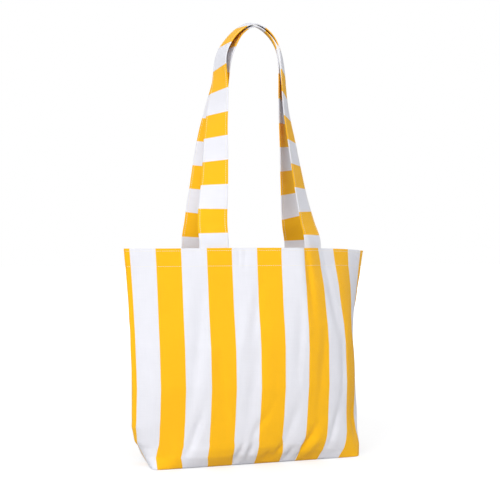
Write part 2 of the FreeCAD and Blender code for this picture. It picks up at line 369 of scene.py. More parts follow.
class NodeTree:
    """A material under construction, with short methods for the nodes that cloth needs."""

    def __init__(self, name: str) -> None:
        """Start an empty material.

        Args:
            name: Name of the material.
        """
        self.material = bpy.data.materials.new(name)
        self.material.use_nodes = True
        self.tree = self.material.node_tree
        self.tree.nodes.clear()

    def add(self, kind: str, **values: object) -> bpy.types.Node:
        """Add a node and fill some of its inputs.

        Args:
            kind: Kind of node.
            values: Socket, number or colour by the name of its input, with _ for a space.

        Returns:
            The node.
        """
        node = self.tree.nodes.new(kind)
        for name, value in values.items():
            self.put(node.inputs[name.replace("_", " ")], value)
        return node

    def put(self, socket: Socket, value: object) -> None:
        """Link a socket to another one, or set its number or colour.

        Args:
            socket: Input socket.
            value: Output socket, number or colour.
        """
        if isinstance(value, bpy.types.NodeSocket):
            self.tree.links.new(value, socket)
        else:
            socket.default_value = (*value, 1.0) if isinstance(value, tuple) else value

    def math(self, operation: str, *values: Socket | float) -> Socket:
        """A math node.

        Args:
            operation: What it does.
            values: Socket or number for each input.

        Returns:
            Socket with the result.
        """
        node = self.add("ShaderNodeMath")
        node.operation = operation
        for socket, value in zip(node.inputs, values):
            self.put(socket, value)
        return node.outputs[0]

    def centred(self, value: Socket, spread: float) -> Socket:
        """Spread a value from 0 to 1 evenly around 0."""
        return self.math("MULTIPLY_ADD", value, spread, -spread / 2)

    def split(self, vector: Socket) -> tuple[Socket, ...]:
        """The three numbers of a vector."""
        return tuple(self.add("ShaderNodeSeparateXYZ", Vector=vector).outputs)

    def map_axes(self) -> tuple[Socket, Socket]:
        """Distances across and along the stripes, from the piece's cloth map.

        Returns:
            Two sockets, in metres.
        """
        node = self.add("ShaderNodeUVMap")
        node.uv_map = CLOTH_MAP
        return self.split(node.outputs[0])[:2]

    def object_axes(self) -> tuple[Socket, ...]:
        """Object coordinates."""
        return self.split(self.add("ShaderNodeTexCoord").outputs["Object"])

    def noise(self, u: Socket, v: Socket, grain: Grain) -> Socket:
        """Noise stretched differently along two axes.

        Args:
            u: First axis.
            v: Second axis.
            grain: Its size along each.

        Returns:
            Socket with the noise, from 0 to 1.
        """
        place = self.add("ShaderNodeCombineXYZ", X=self.math("MULTIPLY", u, grain.across),
                         Y=self.math("MULTIPLY", v, grain.along))
        return self.add("ShaderNodeTexNoise", Scale=1.0, Detail=2.0,
                        Vector=place.outputs[0]).outputs[0]

    def second_half(self, value: Socket, soft: float) -> Socket:
        """1 in the second half of a value that wraps from 0 to 1, with soft edges.

        Args:
            value: Value from 0 to 1.
            soft: Half the width of an edge.

        Returns:
            Socket with the mask.
        """
        edges = [self.add("ShaderNodeMapRange", Value=value, From_Min=low, From_Max=high)
                 for low, high in ((0.5 - soft, 0.5 + soft), (1.0, 1.0 - 2 * soft))]
        return self.math("MULTIPLY", *(edge.outputs[0] for edge in edges))

    def mix(self, share: Socket, first: Socket | Colour, second: Socket | Colour) -> Socket:
        """Mix two colours, or the numbers of two sockets.

        Args:
            share: Share of the second.
            first: First colour or socket.
            second: Second colour or socket.

        Returns:
            Socket with the mixture.
        """
        colours = isinstance(first, tuple)
        node = self.add("ShaderNodeMix", Factor=share)
        node.data_type = "RGBA" if colours else "FLOAT"
        # The node keeps its sockets for colours behind those for numbers.
        a, b, result = (6, 7, 2) if colours else (2, 3, 0)
        self.put(node.inputs[a], first)
        self.put(node.inputs[b], second)
        return node.outputs[result]

    def plain(self, colour: Colour) -> Socket:
        """A single colour as a socket that other nodes can vary.

        Args:
            colour: The colour.

        Returns:
            Socket with the colour.
        """
        node = self.add("ShaderNodeRGB")
        node.outputs[0].default_value = (*colour, 1.0)
        return node.outputs[0]

    def brighten(self, colour: Socket, tone: Socket) -> Socket:
        """Scale a colour by 1 plus a small tone.

        Args:
            colour: Socket with the colour.
            tone: Socket with the tone.

        Returns:
            Socket with the scaled colour.
        """
        node = self.add("ShaderNodeVectorMath")
        node.operation = "SCALE"
        self.put(node.inputs[0], colour)
        self.put(node.inputs["Scale"], self.math("ADD", tone, 1.0))
        return node.outputs[0]

    def finish(self, colour: Socket, height: Socket, surface: Surface) -> bpy.types.Material:
        """Finish the material with a rough cloth surface.

        Args:
            colour: Colour of the surface.
            height: Height of its texture, from 0 to 1.
            surface: How it takes the light.

        Returns:
            The material.
        """
        relief = self.add("ShaderNodeBump", Strength=surface.relief_strength,
                          Distance=surface.relief * MM, Height=height)
        shader = self.add("ShaderNodeBsdfPrincipled", Base_Color=colour,
                          Roughness=surface.roughness, Specular_IOR_Level=surface.specular,
                          Sheen_Weight=surface.sheen, Sheen_Roughness=surface.sheen_roughness,
                          Normal=relief.outputs[0])
        self.add("ShaderNodeOutputMaterial", Surface=shader.outputs[0])
        return self.material


@dataclass(frozen=True)
class StripedCanvas:
    """Woven cotton canvas in two colours, striped across its cloth map.

    Attributes:
        yellow: Colour of the dyed stripes.
        white: Colour of the bleached stripes.
        pitch: Distance between neighbouring yarns.
        wander: How far a stripe's edge strays where single yarns end.
        edge_softness: Soft part of an edge, as a share of two stripes.
        edge, warp, weft, cloud: Grain of the edge, of both yarns and of the broad tone.
        warp_share: Weight of the warp in the yarns' tone; the weft has the rest.
        yarn_tone: Range of brightness from yarn to yarn.
        cloud_tone: Range of the broad tone.
        crown: Power that flattens the yarns' crowns.
        surface: How it takes the light.
        cut: Stripe sizes.
    """

    yellow: Colour = (1.0, 0.515, 0.008)
    white: Colour = (0.815, 0.815, 0.868)
    pitch: float = 0.52
    wander: float = 0.5
    edge_softness: float = 0.004
    edge: Grain = Grain(900.0, 900.0)
    warp: Grain = Grain(2100.0, 26.0)
    weft: Grain = Grain(30.0, 1900.0)
    cloud: Grain = Grain(34.0, 30.0)
    warp_share: float = 0.55
    yarn_tone: float = 0.16
    cloud_tone: float = 0.05
    crown: float = 0.6
    surface: Surface = Surface(roughness=0.92, sheen=0.12, relief=0.35)
    cut: Cut = field(default_factory=Cut)

    def build(self) -> bpy.types.Material:
        """Make the material.

        Returns:
            The material.
        """
        nodes = NodeTree("striped_canvas")
        u, v = nodes.map_axes()
        strayed = nodes.math("ADD", u, nodes.centred(nodes.noise(u, v, self.edge),
                                                     self.wander * MM))
        pairs = nodes.math("DIVIDE", nodes.math("SUBTRACT", strayed, self.cut.first_edge * MM),
                           2 * self.cut.stripe * MM)
        dyed = nodes.second_half(nodes.math("FRACT", pairs), self.edge_softness)
        yarns = nodes.math(
            "ADD", nodes.math("MULTIPLY", nodes.noise(u, v, self.warp), self.warp_share),
            nodes.math("MULTIPLY", nodes.noise(u, v, self.weft), 1 - self.warp_share))
        tone = nodes.math("ADD", nodes.centred(yarns, self.yarn_tone),
                          nodes.centred(nodes.noise(u, v, self.cloud), self.cloud_tone))
        colour = nodes.brighten(nodes.mix(dyed, self.white, self.yellow), tone)
        height = nodes.math("ADD", self.weave_height(nodes, u, v),
                            nodes.math("MULTIPLY", yarns, 0.5))
        return nodes.finish(colour, height, self.surface)

    def weave_height(self, nodes: NodeTree, u: Socket, v: Socket) -> Socket:
        """Height of a plain weave: yarns that pass over and under each other by turns.

        Args:
            nodes: Tree to add to.
            u: Distance across the stripes.
            v: Distance along the stripes.

        Returns:
            Socket with the height, from 0 to 1.
        """
        turns = math.pi / (self.pitch * MM)
        waves = [nodes.math("SINE", nodes.math("MULTIPLY", axis, turns)) for axis in (u, v)]
        weft_on_top = nodes.math("GREATER_THAN", nodes.math("MULTIPLY", *waves), 0.0)
        crowns = [nodes.math("ABSOLUTE", wave) for wave in waves]
        return nodes.math("POWER", nodes.mix(weft_on_top, *crowns), self.crown)


@dataclass(frozen=True)
class SewingThread:
    """Matte cotton thread with its plies.

    Attributes:
        name: Name of the material.
        colour: Colour of the thread.
        ply: Distance between its twisted plies.
        fuzz: Grain of its loose fibres.
        fuzz_tone: Range of brightness that they give.
        surface: How it takes the light.
    """

    name: str = "sewing_thread"
    colour: Colour = (0.9, 0.86, 0.74)
    ply: float = 0.4
    fuzz: Grain = Grain(900.0, 900.0)
    fuzz_tone: float = 0.12
    surface: Surface = Surface(roughness=0.8, sheen=0.1, relief=0.12)

    def build(self) -> bpy.types.Material:
        """Make the material.

        Returns:
            The material.
        """
        nodes = NodeTree(self.name)
        x, y, z = nodes.object_axes()
        diagonal = nodes.math("ADD", nodes.math("ADD", x, y), z)
        twist = nodes.math("SINE", nodes.math("MULTIPLY", diagonal,
                                              2 * math.pi / (self.ply * MM)))
        tone = nodes.centred(nodes.noise(x, z, self.fuzz), self.fuzz_tone)
        height = nodes.math("MULTIPLY_ADD", twist, 0.5, 0.5)
        return nodes.finish(nodes.brighten(nodes.plain(self.colour), tone), height, self.surface)


# ---- the standing shape of the cloth --------------------------------------------------


@dataclass(frozen=True)
class Dent:
    """A soft hollow or swelling in a panel.

    Attributes:
        across: Its middle from the left side seam.
        height: Its middle above the base.
        half_width: Half its width.
        half_length: Half its length.
        lean: Degrees that its length leans to the right from upright.
        depth: How far it sinks in; negative swells out.
    """

    across: float
    height: float
    half_width: float
    half_length: float
    lean: float
    depth: float

    def at(self, across: np.ndarray, height: np.ndarray) -> np.ndarray:
        """Depth at places on the panel.

        Args:
            across: Distances from the left side seam.
            height: Heights above the base.

        Returns:
            Depth at each place.
        """
        turn = math.radians(self.lean)
        x, y = across - self.across, height - self.height
        side = x * math.cos(turn) - y * math.sin(turn)
        along = x * math.sin(turn) + y * math.cos(turn)
        return self.depth * np.exp(-((side / self.half_width) ** 2
                                     + (along / self.half_length) ** 2))


@dataclass(frozen=True)
class Tuck:
    """Cloth swallowed by a fold above the base.

    Attributes:
        start: Where the swallowed cloth begins, from the left side seam.
        width: Width of cloth over which it is swallowed.
        amount: Cloth swallowed at the base.
        bend: How the fold closes upwards: 1 evenly, 2 mostly near its top.
    """

    start: float
    width: float
    amount: float
    bend: float = 2.0


@dataclass
class PanelShape:
    """How one panel stands: plan outlines by height, dents and tucks.

    Attributes:
        outlines: Control points of the plan outline at each height, left to right.
        rim_rise: Control values of the rim's height above the plain level, left to right.
        dents: Hollows and swellings.
        tucks: Cloth swallowed above the base.
        corners: Where the base's two corners lie along the panel's lower edge.
    """

    outlines: dict[float, Outline]
    rim_rise: tuple[float, ...]
    dents: tuple[Dent, ...]
    tucks: tuple[Tuck, ...]
    corners: tuple[float, float]


FRONT_SHAPE = PanelShape(
    outlines={
        0.0: ((-167, -7), (-167, -30), (-167, -46), (-152, -46), (-67, -46), (0, -46),
              (67, -46), (149, -46), (167, -46), (167, -26), (166, 5)),
        22.0: ((-175, 4), (-182, -14), (-166, -37), (-126, -57), (-63, -65), (30, -67),
               (90, -61), (141, -53), (171, -39), (176, -10), (168, 18)),
        46.0: ((-195, -18), (-188, -26), (-161, -41), (-121, -55), (-62, -70), (43, -72),
               (94, -66), (138, -56), (158, -33), (180, -4), (182, 20)),
        90.0: ((-192, -24), (-184, -31), (-162, -48), (-120, -60), (-58, -71), (48, -77),
               (91, -67), (136, -56), (158, -31), (179, -4), (179, 22)),
        150.0: ((-195, -29), (-186, -32), (-163, -51), (-120, -65), (-55, -74), (49, -80),
                (90, -73), (140, -57), (159, -34), (172, -5), (168, 27)),
        240.0: ((-198, -22), (-183, -34), (-160, -46), (-121, -58), (-55, -60), (56, -78),
                (94, -66), (129, -43), (160, -26), (173, 3), (187, 30)),
        328.0: ((-206, -26), (-188, -32), (-161, -37), (-122, -43), (-53, -50), (54, -63),
                (79, -51), (106, -23), (138, -10), (172, 11), (203.5, 35))},
    rim_rise=(0.0, 0.0, 0.3, 1.3, 1.6, 0.6, -1.2, -3.5),
    dents=(
        Dent(102, 56, 6, 22, 16, 4.4), Dent(94, 30, 8, 18, 20, 2.4), Dent(113, 64, 8, 28, 16, -1.8),
        Dent(171, 22, 5, 14, 14, 4.6), Dent(187, 25, 6, 14, 12, 4.2), Dent(179, 30, 5, 20, 16, -2.0),
        Dent(163, 12, 5, 10, -12, 2.4), Dent(198, 62, 6, 26, 34, 2.6), Dent(216, 15, 8, 8, -50, 3.4),
        Dent(232, 24, 4, 16, 30, 2.8), Dent(248, 15, 5, 10, 20, 3.6), Dent(279, 30, 5, 25, 26, 4.6),
        Dent(294, 28, 7, 24, 24, -2.4), Dent(379, 62, 9, 26, 0, 6.0),
        Dent(393, 206, 15, 32, 0, 3.2),
        Dent(326, 52, 6, 28, 14, 3.2), Dent(250, 62, 8, 36, 18, 2.4), Dent(62, 18, 12, 12, 50, 2.8),
        Dent(36, 95, 9, 60, -4, -1.6), Dent(193, 232, 8, 46, 12, 2.4), Dent(178, 205, 9, 46, 12, -1.8),
        Dent(107, 205, 8, 52, 8, 2.0), Dent(92, 240, 10, 50, 6, -1.4), Dent(171, 314, 3.4, 13, 0, 1.6),
        Dent(180, 312, 3.4, 14, 4, 1.6), Dent(283, 285, 6, 56, -3, 3.0), Dent(270, 250, 7, 60, -2, -1.4),
        Dent(331, 250, 8, 60, -8, 2.4), Dent(301, 150, 8, 60, 6, 2.4), Dent(343, 140, 7, 70, 3, 2.2),
        Dent(262, 200, 7, 60, 6, 2.2), Dent(139, 130, 9, 66, -6, 1.8), Dent(186, 120, 8, 60, 8, 2.2),
        Dent(210, 150, 10, 60, 5, -1.5), Dent(120, 150, 11, 50, 14, -1.4),
        Dent(96, 128, 7, 50, 10, 1.9)),
    tucks=(Tuck(0.0, 30.0, 4.0, 1.0), Tuck(165.0, 30.0, 3.5), Tuck(200.0, 36.0, -2.5),
           Tuck(261.0, 15.0, 13.6), Tuck(318.0, 30.0, 3.0)),
    corners=(43.0, 387.0))

BACK_SHAPE = PanelShape(
    outlines={
        0.0: ((-167, -7), (-167, 20), (-167, 46), (-152, 46), (-67, 46), (0, 46),
              (67, 46), (149, 46), (167, 46), (167, 30), (166, 5)),
        12.0: ((-174, -5), (-177, 16), (-174, 43), (-157, 57), (-96, 64), (-34, 66),
               (58, 66), (130, 62), (160, 56), (168, 40), (165, 18)),
        30.0: ((-180, -4), (-184, 14), (-177, 38), (-158, 60), (-120, 73), (-60, 77),
               (50, 77), (112, 72), (150, 64), (164, 50), (160, 28)),
        75.0: ((-188, -12), (-190, 13), (-180, 41), (-158, 65), (-117, 78), (-56, 82),
               (54, 82), (114, 77), (149, 69), (165, 53), (161, 28)),
        150.0: ((-192, -18), (-191, 12), (-180, 42), (-156, 68), (-112, 81), (-50, 85),
                (60, 84), (116, 80), (146, 72), (164, 56), (162, 28)),
        328.0: ((-206, -26), (-182, -7), (-156, 14), (-128, 30), (-90, 36), (-40, 35),
                (88, 32), (128, 50), (166, 70), (194, 62), (205, 38))},
    rim_rise=(0.0, -0.5, 0.0, 1.0, 1.0, 0.0, -2.0, -3.5),
    dents=(),
    tucks=(Tuck(60.0, 26.0, 7.0, 1.0), Tuck(340.0, 26.0, 7.0, 1.0)),
    corners=(57.0, 392.0))


@dataclass
class BagForm:
    """The shape of both panels as surfaces that every other piece is laid on.

    Attributes:
        cut: Sizes of the cloth.
        shapes: How each panel stands.
        column_step: Distance between neighbouring columns between the base's corners.
        row_step: Distance between neighbouring rows.
        side_columns: Columns between a side seam and a corner of the base.
        seam_columns: First columns from a side seam, closer together.
        foot_rows: First rows from the base, closer together.
        easing: Furthest that an outline is eased over the heights around it.
        easing_share: The same as a share of the height, near the base.
        tuck_height: Height of the tucks.
        dent_start: Height up to which the dents fade out.
        rise_start: Height from which the rim's rise begins.
        walls: Outer surface of each panel, worked out from the rest.
        outward: Outward directions of those surfaces.
    """

    cut: Cut
    shapes: dict[Side, PanelShape]
    column_step: float = 2.4
    row_step: float = 2.5
    side_columns: int = 22
    seam_columns: tuple[float, ...] = (0.0, 0.45, 1.0, 1.8, 3.2)
    foot_rows: tuple[float, ...] = (0.0, 0.35, 0.9, 1.6, 2.6)
    easing: float = 30.0
    easing_share: float = 0.25
    tuck_height: float = 42.0
    dent_start: float = 9.0
    rise_start: float = 180.0
    walls: dict[Side, np.ndarray] = field(default_factory=dict)
    outward: dict[Side, np.ndarray] = field(default_factory=dict)

    RIM_SAMPLES = 200
    # Depth and reach of the hollows along a row of stitching and along a side seam.
    ROW_PULL = (0.22, 1.8)
    SEAM_PULL = (1.1, 0.9)
    # Depth and reach of the puckers along a side seam, and their length up it.
    PUCKER = (0.35, 7.0)
    PUCKER_LENGTH = 7.5
    # How far a sewn-in strap swells the hem, and where that fades at its sides and its foot.
    STRAP_SWELL = 0.55
    SWELL_SIDE = (-2.5, 1.5)
    SWELL_FOOT = (-3.0, 2.0)
    # Depth, width and length of the broad and the narrow ripples, and the back's own shift.
    RIPPLES = ((1.1, 70.0, 150.0), (0.32, 24.0, 55.0))
    BACK_SHIFT = 7.0
    # Height by which ripples are full, and heights over which the hem takes a share away.
    CALM_FOOT = 25.0
    CALM_HEM = (290.0, 305.0)
    HEM_SHARE = 0.6

    def __post_init__(self) -> None:
        """Work out both walls."""
        rim = self.cut.wall_height
        self.heights = np.concatenate([
            self.foot_rows[:-1], np.linspace(self.foot_rows[-1], rim, round(rim / self.row_step))])
        for side in Side:
            self.walls[side] = self.wall(side)
            self.outward[side] = self.normals(side, self.walls[side])

    def columns(self, side: Side) -> np.ndarray:
        """Places of the columns from the left side seam, closer together at the seams.

        Args:
            side: Which panel.

        Returns:
            Distances from the left side seam, up to the right one.
        """
        (first, last), width = self.shapes[side].corners, self.cut.panel_width
        *fine, plain = self.seam_columns
        count = self.side_columns - len(fine) + 1
        left = np.linspace(plain, first, count)[:-1]
        middle = np.linspace(first, last, round((last - first) / self.column_step) + 1)
        right = np.linspace(last, width - plain, count)[1:]
        return np.concatenate([fine, left, middle, right, width - np.array(fine[::-1])])

    def between_outlines(self, side: Side, height: float) -> np.ndarray:
        """Mix of the two outlines next to a height.

        Args:
            side: Which panel.
            height: Height above the base.

        Returns:
            Control points.
        """
        levels = self.shapes[side].outlines
        heights = sorted(levels)
        height = min(max(height, heights[0]), heights[-1])
        above = max(1, np.searchsorted(heights, height))
        low, high = heights[above - 1], heights[above]
        share = (height - low) / (high - low)
        return (1 - share) * np.array(levels[low], float) + share * np.array(levels[high], float)

    def outline(self, side: Side, height: float) -> np.ndarray:
        """Control points of a panel at a height, eased over the heights around it.

        Args:
            side: Which panel.
            height: Height above the base.

        Returns:
            Control points.
        """
        top = max(self.shapes[side].outlines)
        reach = max(0.0, min(self.easing, self.easing_share * height, top - height))
        return 0.5 * (self.between_outlines(side, height - reach)
                      + self.between_outlines(side, height + reach))

    def run(self, side: Side, across: np.ndarray, height: float) -> np.ndarray:
        """Where places on the cloth come along the outline, with the tucks taken out.

        Args:
            side: Which panel.
            across: Distances from the left side seam on the cloth.
            height: Height above the base.

        Returns:
            Shares of the outline's length.
        """
        place, total = across.copy(), self.cut.panel_width
        for tuck in self.shapes[side].tucks:
            taken = tuck.amount * max(0.0, 1 - (height / self.tuck_height) ** tuck.bend)
            place = place - taken * np.clip((across - tuck.start) / tuck.width, 0, 1)
            total -= taken
        return place / total

    def rim_rise(self, side: Side, columns: np.ndarray) -> np.ndarray:
        """How far the rim stands above the plain level.

        Args:
            side: Which panel.
            columns: Distances from the left side seam.

        Returns:
            Rise at each.
        """
        values = np.array(self.shapes[side].rim_rise)
        curve = blending_basis(len(values), self.RIM_SAMPLES) @ values
        return np.interp(columns / self.cut.panel_width,
                         np.linspace(0, 1, self.RIM_SAMPLES), curve)

    def wall(self, side: Side) -> np.ndarray:
        """Outer surface of a panel's wall.

        Args:
            side: Which panel.

        Returns:
            Rows from the base to the rim, by columns, by 3.
        """
        columns = self.columns(side)
        rise = self.rim_rise(side, columns)
        basis = blending_basis(len(self.outline(side, 0.0)), CURVE_SAMPLES)
        rows = []
        for height in self.heights:
            poles = self.outline(side, height)
            if side is Side.BACK:
                poles[[0, -1]] = self.outline(Side.FRONT, height)[[0, -1]]
            curve = basis @ poles
            length = lengths_along(curve)
            x, y = value_at(self.run(side, columns, height) * length[-1], length, curve).T
            z = height + rise * smoothstep(height, self.rise_start, self.cut.wall_height)
            rows.append(np.stack([x, y, z], axis=1))
        surface = np.array(rows)
        normals = self.normals(side, surface)
        across, height = np.meshgrid(columns, self.heights)
        dents = sum((dent.at(across, height) for dent in self.shapes[side].dents),
                    start=np.zeros_like(across))
        depth = (dents * smoothstep(height, 0.0, self.dent_start)
                 + self.sewing_pull(across, height) + self.ripples(side, across, height)
                 + self.foot_inset(height))
        surface -= normals * depth[..., None]
        surface[0, :, 2] = 0.0
        return surface

    def foot_inset(self, height: np.ndarray) -> np.ndarray:
        """How far the wall's lowest rows turn in towards the base.

        Args:
            height: Heights above the base.

        Returns:
            Inset at each.
        """
        radius = self.cut.foot_radius
        low = np.clip(radius - height, 0, radius)
        return radius - np.sqrt(radius ** 2 - low ** 2)

    def sewing_pull(self, across: np.ndarray, height: np.ndarray) -> np.ndarray:
        """How far stitch rows and side seams draw the cloth in.

        Args:
            across: Distances from the left side seam.
            height: Heights above the base.

        Returns:
            Depth at each place; negative where a sewn-in strap swells the hem.
        """
        cut = self.cut
        depth = np.zeros_like(across)
        for drop in (cut.edge_row, cut.hem_row):
            depth += hollow(height - cut.wall_height + drop, *self.ROW_PULL)
        for seam in (0.0, cut.panel_width):
            depth += hollow(across - seam, *self.SEAM_PULL)
            depth += hollow(across - seam, *self.PUCKER) * np.sin(
                height / self.PUCKER_LENGTH + seam)
        foot = cut.wall_height - cut.strap_tuck
        for end in End:
            away = np.abs(across - cut.strap_place(end)) - cut.strap_width / 2
            raised = (1 - smoothstep(away, *self.SWELL_SIDE)) * smoothstep(
                height - foot, *self.SWELL_FOOT)
            depth -= self.STRAP_SWELL * raised
        return depth

    def ripples(self, side: Side, across: np.ndarray, height: np.ndarray) -> np.ndarray:
        """Slight unevenness of standing canvas, from smooth noise.

        Args:
            side: Which panel.
            across: Distances from the left side seam.
            height: Heights above the base.

        Returns:
            Depth at each place.
        """
        shift = 0.0 if side is Side.FRONT else self.BACK_SHIFT
        (deep, wide, tall), (slight, narrow, short) = self.RIPPLES
        depth = np.zeros(across.shape)
        for index in np.ndindex(across.shape):
            x, z = across[index], height[index]
            depth[index] = (
                deep * noise.noise(Vector((x / wide + shift, z / tall, 1.5)))
                + slight * noise.noise(Vector((x / narrow, z / short + shift, 4.0))))
        return depth * smoothstep(height, 0.0, self.CALM_FOOT) * (
            1 - self.HEM_SHARE * smoothstep(height, *self.CALM_HEM))

    def normals(self, side: Side, surface: np.ndarray) -> np.ndarray:
        """Outward directions of a surface.

        Args:
            side: Which panel it belongs to.
            surface: Rows by columns by 3.

        Returns:
            Directions at every point.
        """
        along, up = np.gradient(surface, axis=1), np.gradient(surface, axis=0)
        return unit(np.cross(along, up) if side is Side.FRONT else np.cross(up, along))

    def at(self, side: Side, across: np.ndarray | float, height: np.ndarray | float,
           inwards: np.ndarray | float = 0.0) -> tuple[np.ndarray, np.ndarray]:
        """Points on a panel and their outward directions.

        Args:
            side: Which panel.
            across: Distances from the left side seam.
            height: Heights above the base; above the rim the wall runs on straight.
            inwards: How far inside the outer surface.

        Returns:
            Points and directions, each with a last axis of 3.
        """
        columns = self.columns(side)
        across, height = np.broadcast_arrays(np.asarray(across, float),
                                             np.asarray(height, float))
        level = np.clip(height, 0.0, self.cut.wall_height)
        column = np.interp(across, columns, np.arange(len(columns)))
        row = np.interp(level, self.heights, np.arange(len(self.heights)))
        c = np.clip(column.astype(int), 0, len(columns) - 2)
        r = np.clip(row.astype(int), 0, len(self.heights) - 2)
        share_c, share_r = (column - c)[..., None], (row - r)[..., None]

        def sample(grid: np.ndarray) -> np.ndarray:
            """Read a grid between its rows and columns.

            Args:
                grid: Rows by columns by 3.

            Returns:
                Its values at the places asked for.
            """
            low = grid[r, c] * (1 - share_c) + grid[r, c + 1] * share_c
            high = grid[r + 1, c] * (1 - share_c) + grid[r + 1, c + 1] * share_c
            return low * (1 - share_r) + high * share_r

        direction = unit(sample(self.outward[side]))
        point = sample(self.walls[side]) - direction * np.asarray(inwards)[..., None]
        return point + UP * (height - level)[..., None], direction


# ---- panels ---------------------------------------------------------------------------


@dataclass
class Panel:
    """Front or back panel: half of the base, the wall and the turned hem in one sheet.

    Attributes:
        side: Which panel.
        form: Shape of the bag.
        canvas: Material of the cloth.
        fold_steps: Faces around the fold along the rim.
        hem_rows: Rows of the hem inside.
        hem_start: First of them below the rim.
        hem_ease: Length over which the hem's free edge comes to lie against the wall.
    """

    side: Side
    form: BagForm
    canvas: bpy.types.Material
    fold_steps: int = 6
    hem_rows: int = 12
    hem_start: float = 2.0
    hem_ease: float = 2.5

    # Height and reach of the ridge along the base seam.
    BASE_SEAM_RIDGE = (0.9, 1.2)

    def hem(self) -> tuple[np.ndarray, np.ndarray]:
        """Work out the fold over the rim and the hem inside.

        Returns:
            Rows of points, and each row's distance from the base along the cloth.
        """
        form, cut = self.form, self.form.cut
        columns, radius = form.columns(self.side), cut.fold_radius
        rows, along = [], []
        for turn in np.linspace(0.0, math.pi, self.fold_steps + 1)[1:]:
            inwards = radius * (1 - math.cos(turn))
            point, _ = form.at(self.side, columns, cut.wall_height, inwards)
            rows.append(point + UP * radius * math.sin(turn))
            along.append(cut.wall_height + radius * turn)
        for drop in np.linspace(self.hem_start, cut.hem, self.hem_rows):
            inwards = 2 * radius - cut.cloth * smoothstep(drop, cut.hem - self.hem_ease, cut.hem)
            rows.append(form.at(self.side, columns, cut.wall_height - drop, inwards)[0])
            along.append(cut.wall_height + radius * math.pi + drop)
        return np.array(rows), np.array(along)

    def half_base(self) -> tuple[np.ndarray, np.ndarray]:
        """Work out the half base, from the panel's lower edge to the seam along its middle.

        Returns:
            Points and cloth map, as rows by columns.
        """
        form = self.form
        edge, columns = form.walls[self.side][0], form.columns(self.side)
        first, last = form.side_columns, len(columns) - 1 - form.side_columns
        lower, left, right = edge[first:last + 1], edge[first::-1], edge[last:]
        t = np.linspace(0, 1, len(lower))[None, :, None]
        f = np.linspace(0, 1, len(left))[:, None, None]
        seam = left[-1] * (1 - t[0]) + right[-1] * t[0]
        corners = ((1 - t) * (1 - f) * lower[0] + t * (1 - f) * lower[-1]
                   + (1 - t) * f * left[-1] + t * f * right[-1])
        points = ((1 - f) * lower[None] + f * seam[None] + (1 - t) * left[:, None]
                  + t * right[:, None] - corners)
        depth = form.cut.base_half
        points[..., 2] = hollow((1 - f[..., 0]) * depth, *self.BASE_SEAM_RIDGE)
        cloth = np.zeros((*points.shape[:2], 2))
        cloth[..., 0] = columns[first:last + 1][None]
        cloth[..., 1] = -depth * f[..., 0]
        return points, cloth

    def build(self) -> list[Piece]:
        """Returns:
            The piece, in a list.
        """
        form, cut = self.form, self.form.cut
        hem, hem_along = self.hem()
        points = np.concatenate([form.walls[self.side], hem])
        cloth = np.zeros((*points.shape[:2], 2))
        cloth[..., 0] = form.columns(self.side)[None]
        cloth[..., 1] = np.concatenate([form.heights, hem_along])[:, None]
        mesh = bmesh.new()
        for grid, cloth_map in ((points, cloth), self.half_base()):
            if self.side is Side.BACK:
                cloth_map[..., 0] = cut.panel_width - cloth_map[..., 0]
            lay_grid(mesh, grid, cloth_map)
        bmesh.ops.remove_doubles(mesh, verts=mesh.verts, dist=WELD)
        self.face_outwards(mesh)
        piece = finished(f"{self.side.value}_panel_cloth", mesh, self.canvas)
        solid = piece.modifiers.new("cloth", "SOLIDIFY")
        solid.thickness = cut.cloth * MM
        solid.offset = -1.0
        sewn_to_bag(piece, f"{self.side.value}_panel")
        return [piece]

    def face_outwards(self, mesh: bmesh.types.BMesh) -> None:
        """Turn all faces of the sheet to the outside of the bag.

        Args:
            mesh: The sheet.
        """
        bmesh.ops.recalc_face_normals(mesh, faces=mesh.faces)
        forwards = -sum(face.normal.y * face.calc_area() for face in mesh.faces)
        if (forwards < 0) == (self.side is Side.FRONT):
            bmesh.ops.reverse_faces(mesh, faces=mesh.faces)


# ---- stitching ------------------------------------------------------------------------


